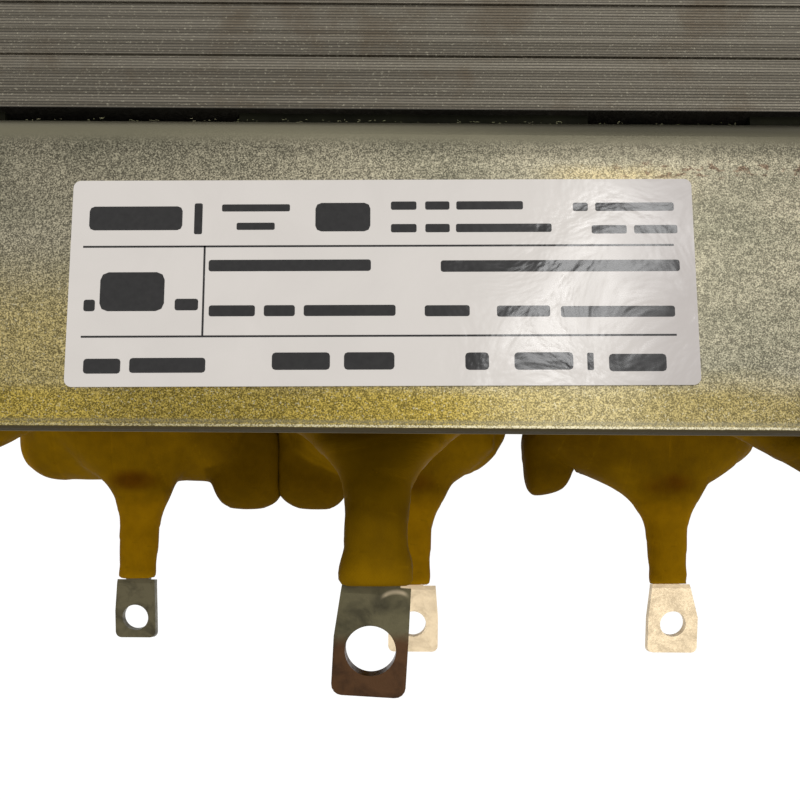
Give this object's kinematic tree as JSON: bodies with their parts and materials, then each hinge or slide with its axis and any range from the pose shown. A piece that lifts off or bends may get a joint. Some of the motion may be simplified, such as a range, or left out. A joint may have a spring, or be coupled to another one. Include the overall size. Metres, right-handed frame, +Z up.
{
  "type": "three-phase line reactor",
  "caption": "Laminated core with taped coils in a clamping frame of bent angles, flat bare terminal lugs to the front.",
  "frame": {"origin": "centre of the four mounting slots, on the base plane", "axes": "+Z up along the limbs, +X along the yokes, terminals towards -Y"},
  "size_m": [0.328, 0.2206, 0.2428],
  "materials": {
    "lamination_steel": "varnished sheet edges, a little rust-brown",
    "galvanised_sheet": "zinc coated sheet, grainy spangle, sheared edges",
    "zinc_fastener": "zinc plated",
    "varnished_tape": "glass-cloth tape soaked in yellow-brown varnish",
    "tinned_copper": "tinned copper, tarnished, with heat tint",
    "copper_bar": "flat copper bar",
    "pressboard": "varnished pressboard",
    "glass_laminate": "varnished insulating board",
    "label": "glossy white film with plain blocks and rules"
  },
  "bodies": {
    "root": {"core_comb": "lamination_steel", "core_yoke": "lamination_steel", "gap_plate_left": "glass_laminate", "gap_plate_centre": "glass_laminate", "gap_plate_right": "glass_laminate", "former_left": "pressboard", "former_centre": "pressboard", "former_right": "pressboard", "winding_left": "copper_bar", "winding_centre": "copper_bar", "winding_right": "copper_bar", "duct_sticks_left": "pressboard", "duct_sticks_centre": "pressboard", "duct_sticks_right": "pressboard", "wrap_left": "varnished_tape", "wrap_centre": "varnished_tape", "wrap_right": "varnished_tape", "start_lug_left": "tinned_copper", "start_lug_centre": "tinned_copper", "start_lug_right": "tinned_copper", "finish_lug_left": "tinned_copper", "finish_lug_centre": "tinned_copper", "finish_lug_right": "tinned_copper", "top_angle_front": "galvanised_sheet", "top_angle_rear": "galvanised_sheet", "bottom_angle_front": "galvanised_sheet", "bottom_angle_rear": "galvanised_sheet", "pads_top_front": "glass_laminate", "pads_top_rear": "glass_laminate", "pads_bottom_front": "glass_laminate", "pads_bottom_rear": "glass_laminate", "tie_strap_front_left": "galvanised_sheet", "tie_strap_front_right": "galvanised_sheet", "tie_strap_rear_left": "galvanised_sheet", "tie_strap_rear_right": "galvanised_sheet", "spacer_tubes": "zinc_fastener", "clamp_bolts": "zinc_fastener", "clamp_washers": "zinc_fastener", "clamp_nuts": "zinc_fastener", "label": "label"}
  },
  "joints": []
}
